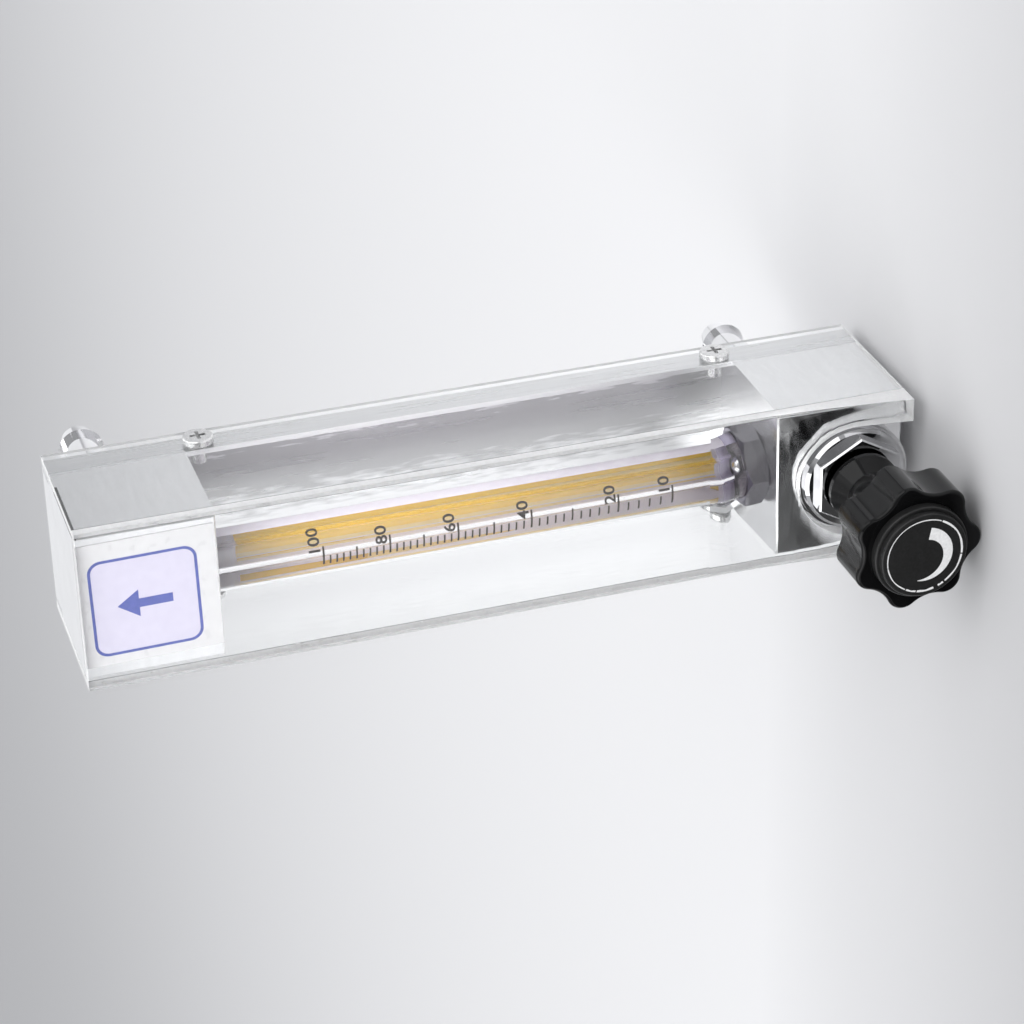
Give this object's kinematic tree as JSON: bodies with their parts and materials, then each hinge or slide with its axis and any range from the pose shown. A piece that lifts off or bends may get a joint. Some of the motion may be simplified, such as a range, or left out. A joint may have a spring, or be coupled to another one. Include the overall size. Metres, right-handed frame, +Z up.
{
  "type": "glass tube rotameter",
  "caption": "Panel-mounted glass tube flow meter in a clear square cover, with a ball float, a lobed needle-valve knob and two rear hose ports.",
  "frame": {"origin": "where the meter tube's axis meets the plane of the lower end of the cover, channel and lower block", "axes": "+Z up along the meter tube, -Y out of the front with the scale and the valve knob, +Y out of the back with the two ports, +X to the reader's right"},
  "size_m": [0.035, 0.0983, 0.1624],
  "materials": {
    "channel_steel": "polished folded sheet",
    "clear_acrylic": "clear polished acrylic sheet with solvent-bonded joints",
    "screw_steel": "bright zinc",
    "block_metal": "fine satin on the sides, polished at the front",
    "label": "printed film with a blue rounded frame",
    "glass": "clear precision-bore glass",
    "yellow_enamel": "fired enamel",
    "float_steel": "polished ball",
    "clear_stop": "moulded natural plastic",
    "seal_rubber": "matte",
    "plated_brass": "bright nickel and chrome plate",
    "seat_plastic": "turned PTFE",
    "stem_steel": "turned stainless",
    "knob_black": "gloss moulding"
  },
  "bodies": {
    "meter": {"back_channel": "channel_steel", "cover_front_plate": "clear_acrylic", "cover_right_plate": "clear_acrylic", "cover_left_plate": "clear_acrylic", "cover_screws_right": "screw_steel", "cover_screws_left": "screw_steel", "lower_block_screws": "screw_steel", "upper_block_screws": "screw_steel", "lower_block": "block_metal", "upper_block": "block_metal", "label_plate": "label", "glass_tube": "glass", "reading_stripe": "yellow_enamel", "lower_float_stop": "clear_stop", "upper_float_stop": "clear_stop", "lower_tube_gasket": "seal_rubber", "upper_tube_gasket": "seal_rubber", "upper_tube_seal": "seal_rubber", "tube_clamp_screw": "plated_brass", "valve_flange": "plated_brass", "valve_nut": "plated_brass", "valve_bonnet": "plated_brass", "bonnet_gasket": "seal_rubber", "valve_seat": "seat_plastic", "inlet_hose_tail": "plated_brass", "outlet_hose_tail": "plated_brass", "inlet_gasket": "seal_rubber", "outlet_gasket": "seal_rubber"},
    "float": {"float_ball": "float_steel"},
    "seal": {"stem_seal_ring": "seal_rubber"},
    "valve": {"needle_stem": "stem_steel", "knob": "knob_black", "knob_cap": "knob_black", "knob_grub_screw": "stem_steel"}
  },
  "joints": [
    {"name": "float_rise", "type": "slide", "parent": "meter", "child": "float", "axis": [0, 0, 1], "range_m": [0, 0.1051]},
    {"name": "stem_lift", "type": "slide", "parent": "meter", "child": "seal", "axis": [0, -1, 0], "range_m": [0, 0.0025]},
    {"name": "knob_turn", "type": "hinge", "parent": "seal", "child": "valve", "pos_m": [0, -0.02, 0.0104], "axis": [0, -1, 0], "range_deg": [0, 1800]}
  ],
  "couplings": [
    {"joint": "stem_lift", "follows": "knob_turn", "m_per_rad": 0.00007957}
  ]
}
